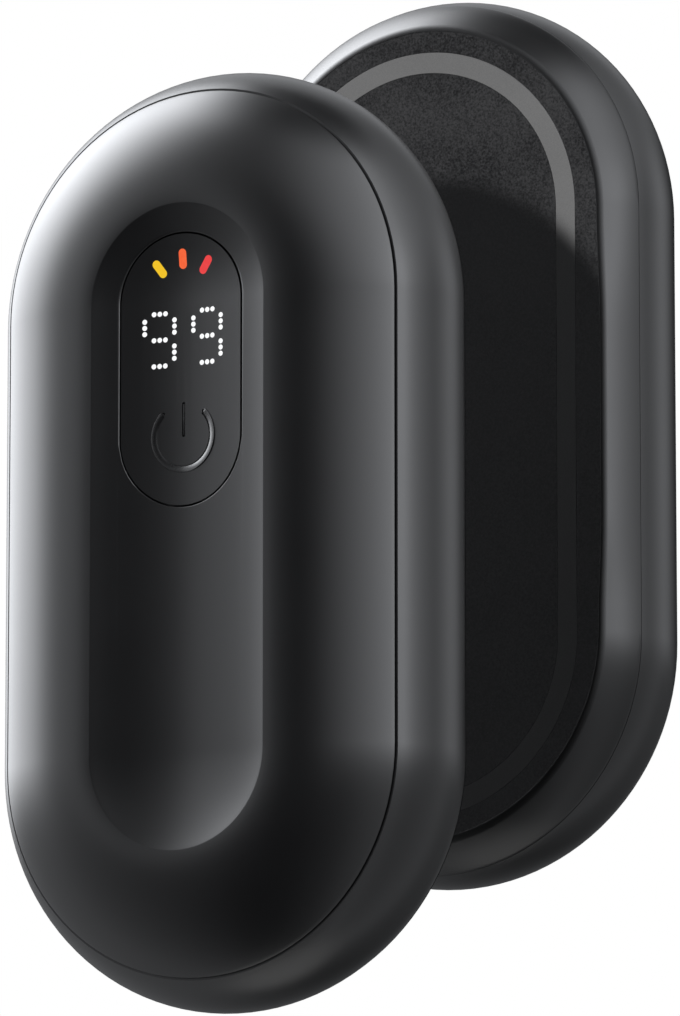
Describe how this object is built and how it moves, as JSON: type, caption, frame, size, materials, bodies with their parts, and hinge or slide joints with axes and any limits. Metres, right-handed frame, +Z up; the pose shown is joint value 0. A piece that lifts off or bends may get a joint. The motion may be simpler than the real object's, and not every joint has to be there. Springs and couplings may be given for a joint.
{
  "type": "hand warmer",
  "caption": "Pair of rechargeable pocket hand warmers, flattened pebble halves whose flat heated faces meet magnetically; dished grip groove with a lit power key on each.",
  "frame": {"origin": "middle of the rear half's finger groove, on its surface", "axes": "+Z up along both halves, towards their display ends; +Y from the front half to the rear half, out of the rear half's domed side; +X to the right across the width, seen from the front"},
  "size_m": [0.052, 0.0738, 0.1164],
  "materials": {
    "dome_plastic": "satin moulded, near black",
    "band_plastic": "satin moulded, near black",
    "cover_plastic": "satin moulded, near black",
    "panel_plastic": "fine matt grain",
    "ring_grey": "matt grey inlay",
    "heater_film": "amber polyimide film",
    "spreader_aluminium": "brushed",
    "white_foam": "closed-cell foam",
    "nickel_plate": "nickel plated",
    "sensor_glass": "glass bead",
    "tray_plastic": "moulded",
    "screw_steel": "zinc plated",
    "cell_wrap": "laminated pouch foil",
    "tab_nickel": "nickel strip",
    "black_foam": "foam tape",
    "board_green": "solder resist",
    "chip_plastic": "moulded chip",
    "pin_brass": "gold plated",
    "socket_steel": "drawn steel",
    "milky_plastic": "diffusing",
    "led_white": "phosphor",
    "switch_plastic": "moulded",
    "plunger_plastic": "moulded",
    "mark_plastic": "matt inlay in an engraved channel",
    "bar_yellow": "lit, yellow",
    "bar_orange": "lit, orange",
    "bar_red": "lit, red",
    "dot_white": "lit, white",
    "key_plastic": "satin moulded, dark grey"
  },
  "bodies": {
    "rear_half": {"rear_dome_shell": "dome_plastic", "rear_side_band": "band_plastic", "rear_face_cover": "cover_plastic", "rear_face_panel": "panel_plastic", "rear_face_ring": "ring_grey", "rear_heater_film": "heater_film", "rear_heat_spreader": "spreader_aluminium", "rear_insulation_pad": "white_foam", "rear_magnets": "nickel_plate", "rear_temperature_sensor": "sensor_glass", "rear_battery_tray": "tray_plastic", "rear_screws": "screw_steel", "rear_battery_cell": "cell_wrap", "rear_battery_tabs": "tab_nickel", "rear_board_pad": "black_foam", "rear_main_board": "board_green", "rear_board_chips": "chip_plastic", "rear_charge_board": "board_green", "rear_board_pins": "pin_brass", "rear_usb_socket": "socket_steel", "rear_light_guide": "milky_plastic", "rear_display_leds": "led_white", "rear_power_switch": "switch_plastic"},
    "front_half": {"front_dome_shell": "dome_plastic", "front_side_band": "band_plastic", "front_face_cover": "cover_plastic", "front_face_panel": "panel_plastic", "front_face_ring": "ring_grey", "front_heater_film": "heater_film", "front_heat_spreader": "spreader_aluminium", "front_insulation_pad": "white_foam", "front_magnets": "nickel_plate", "front_temperature_sensor": "sensor_glass", "front_battery_tray": "tray_plastic", "front_screws": "screw_steel", "front_battery_cell": "cell_wrap", "front_battery_tabs": "tab_nickel", "front_board_pad": "black_foam", "front_main_board": "board_green", "front_board_chips": "chip_plastic", "front_charge_board": "board_green", "front_board_pins": "pin_brass", "front_usb_socket": "socket_steel", "front_light_guide": "milky_plastic", "front_display_leds": "led_white", "front_power_switch": "switch_plastic"},
    "rear_button": {"rear_power_key": "key_plastic", "rear_power_mark": "mark_plastic", "rear_low_heat_bar": "bar_yellow", "rear_middle_heat_bar": "bar_orange", "rear_high_heat_bar": "bar_red", "rear_digit_dots": "dot_white", "rear_switch_plunger": "plunger_plastic"},
    "front_button": {"front_power_key": "key_plastic", "front_power_mark": "mark_plastic", "front_low_heat_bar": "bar_yellow", "front_middle_heat_bar": "bar_orange", "front_high_heat_bar": "bar_red", "front_digit_dots": "dot_white", "front_switch_plunger": "plunger_plastic"}
  },
  "joints": [
    {"name": "halves_join", "type": "slide", "parent": "rear_half", "child": "front_half", "axis": [0, 0.8853, 0.4651], "range_m": [0, 0.03784]},
    {"name": "front_power_press", "type": "slide", "parent": "front_half", "child": "front_button", "axis": [0, 1, 0], "range_m": [0, 0.0003], "stiffness_N_per_m": 300, "springref_m": -0.003},
    {"name": "rear_power_press", "type": "slide", "parent": "rear_half", "child": "rear_button", "axis": [0, -1, 0], "range_m": [0, 0.0003], "stiffness_N_per_m": 300, "springref_m": -0.003}
  ]
}
